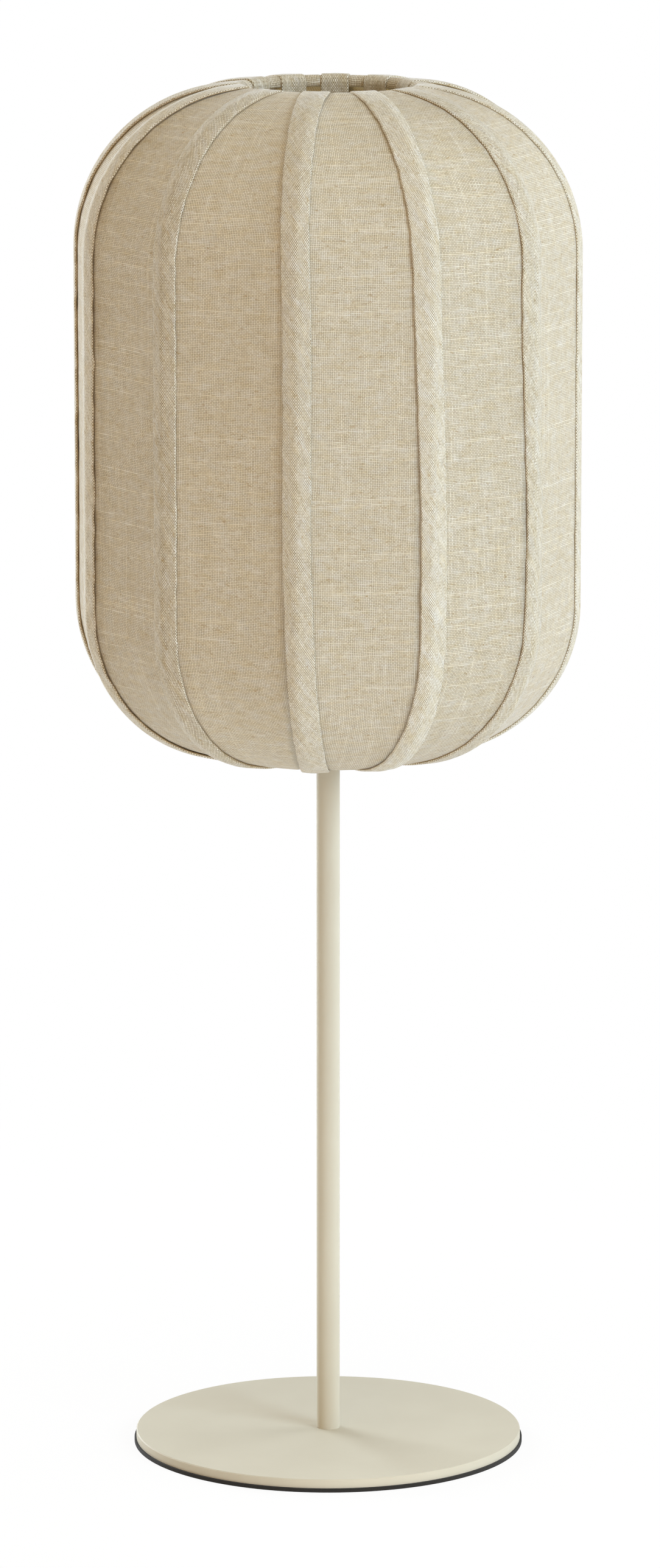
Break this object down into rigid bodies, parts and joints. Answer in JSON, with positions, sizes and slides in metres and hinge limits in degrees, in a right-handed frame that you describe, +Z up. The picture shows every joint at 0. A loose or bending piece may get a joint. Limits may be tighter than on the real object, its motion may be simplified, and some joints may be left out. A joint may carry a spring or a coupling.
{
  "type": "table lamp",
  "caption": "Table lamp with a barrel shaped linen shade, folded tapes over wire ribs, on a slim tube pole with a thin round base and a felt pad.",
  "frame": {"origin": "on the table, under the middle of the pole", "axes": "+Z up along the pole, -Y to the front, +Y to the back where the cord outlet is"},
  "size_m": [0.2589, 0.2586, 0.7085],
  "materials": {
    "felt": "black felt, matt",
    "cream_powder_coat": "fine powder coat, satin, cream",
    "zinc_steel": "bright zinc plated steel",
    "cream_plastic": "moulded thermoplastic, satin",
    "porcelain": "glazed porcelain",
    "brass": "bare brass sheet",
    "opal_glass": "opal white glass",
    "nickel_cap": "drawn aluminium screw cap",
    "black_glass": "black vitrified glass",
    "white_wire": "white lacquered steel wire",
    "linen": "plain woven slub linen, natural",
    "linen_tape": "folded linen bias tape, natural"
  },
  "bodies": {
    "stand": {"base_pad": "felt", "base_disc": "cream_powder_coat", "pole_tube": "cream_powder_coat", "base_screw": "zinc_steel", "pole_foot_plug": "zinc_steel", "holder_nipple": "zinc_steel", "holder_lock_washer": "zinc_steel", "holder_lock_nut": "zinc_steel", "cord_grommet": "cream_plastic", "holder_cap": "cream_plastic", "holder_skirt": "cream_plastic", "holder_core": "porcelain", "terminal_screws": "brass", "holder_screw_shell": "brass", "centre_contact": "brass"},
    "shade": {"top_ring": "white_wire", "bottom_ring": "white_wire", "fitter_ring": "white_wire", "fitter_arms": "white_wire", "rib_wire_01": "white_wire", "rib_wire_02": "white_wire", "rib_wire_03": "white_wire", "rib_wire_04": "white_wire", "rib_wire_05": "white_wire", "rib_wire_06": "white_wire", "rib_wire_07": "white_wire", "rib_wire_08": "white_wire", "rib_wire_09": "white_wire", "rib_wire_10": "white_wire", "rib_wire_11": "white_wire", "rib_wire_12": "white_wire", "linen_panel_01": "linen", "linen_panel_02": "linen", "linen_panel_03": "linen", "linen_panel_04": "linen", "linen_panel_05": "linen", "linen_panel_06": "linen", "linen_panel_07": "linen", "linen_panel_08": "linen", "linen_panel_09": "linen", "linen_panel_10": "linen", "linen_panel_11": "linen", "linen_panel_12": "linen", "seam_tape_01": "linen_tape", "seam_tape_02": "linen_tape", "seam_tape_03": "linen_tape", "seam_tape_04": "linen_tape", "seam_tape_05": "linen_tape", "seam_tape_06": "linen_tape", "seam_tape_07": "linen_tape", "seam_tape_08": "linen_tape", "seam_tape_09": "linen_tape", "seam_tape_10": "linen_tape", "seam_tape_11": "linen_tape", "seam_tape_12": "linen_tape"},
    "shade_ring": {"shade_ring": "cream_plastic"},
    "bulb": {"bulb_glass": "opal_glass", "bulb_cap": "nickel_cap", "bulb_insulator": "black_glass", "bulb_tip": "nickel_cap"}
  },
  "joints": [
    {"name": "shade_swivel", "type": "hinge", "parent": "stand", "child": "shade", "pos_m": [0, 0, 0.4542], "axis": [0, 0, 1], "continuous": true},
    {"name": "shade_ring_screw", "type": "hinge", "parent": "stand", "child": "shade_ring", "pos_m": [0, 0, 0.4608], "axis": [0, 0, 1], "range_deg": [0, 1080]},
    {"name": "bulb_screw", "type": "hinge", "parent": "stand", "child": "bulb", "pos_m": [0, 0, 0.48], "axis": [0, 0, 1], "range_deg": [0, 1080]}
  ]
}
